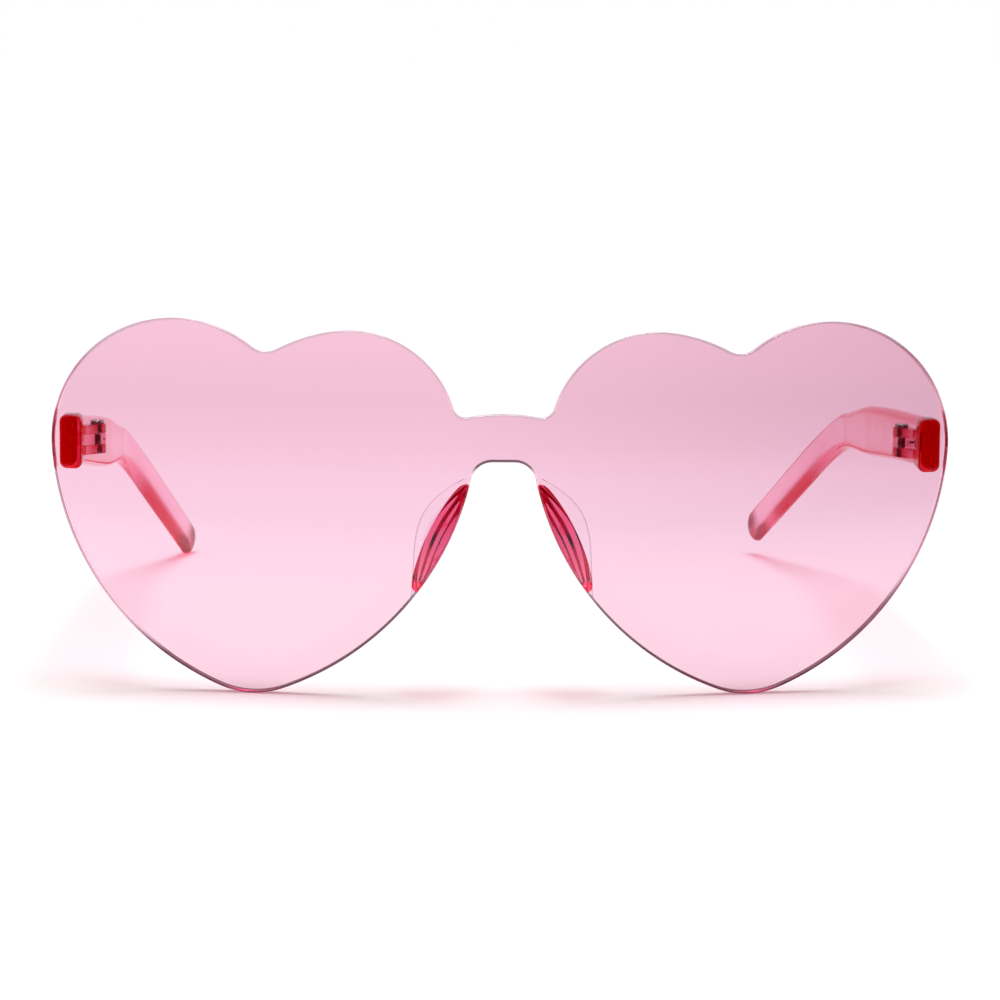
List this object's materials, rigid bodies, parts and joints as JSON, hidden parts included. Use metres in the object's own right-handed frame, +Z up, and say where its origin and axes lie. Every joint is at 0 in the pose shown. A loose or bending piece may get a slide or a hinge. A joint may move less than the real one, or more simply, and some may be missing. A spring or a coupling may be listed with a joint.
{
  "type": "heart shaped sunglasses",
  "caption": "Heart shaped one-piece shield sunglasses with bonded end pieces and nose pads and folding translucent temples.",
  "frame": {"origin": "on the surface the glasses stand on, midway between the two side edges and midway between the foremost point of the shield and the rearmost point of the temple tips", "axes": "+X to the right seen from the front, +Y from the shield towards the temple tips, +Z up with the shield standing on its two lower tips"},
  "size_m": [0.15, 0.1491, 0.0624],
  "materials": {
    "tinted_lens": "clear pink tint",
    "tinted_plastic": "translucent gloss",
    "screw_steel": "polished"
  },
  "bodies": {
    "front": {"lens_shield": "tinted_lens", "end_piece_left": "tinted_plastic", "end_piece_right": "tinted_plastic", "nose_pad_left": "tinted_plastic", "nose_pad_right": "tinted_plastic", "hinge_screw_left": "screw_steel", "hinge_screw_right": "screw_steel"},
    "left_temple": {"temple_left": "tinted_plastic"},
    "right_temple": {"temple_right": "tinted_plastic"}
  },
  "joints": [
    {"name": "left_temple_fold", "type": "hinge", "parent": "front", "child": "left_temple", "pos_m": [-0.0677, -0.05718, 0.0412], "axis": [0, 0, -1], "range_deg": [0, 81]},
    {"name": "right_temple_fold", "type": "hinge", "parent": "front", "child": "right_temple", "pos_m": [0.0677, -0.05718, 0.0412], "axis": [0, 0, 1], "range_deg": [0, 88]}
  ]
}
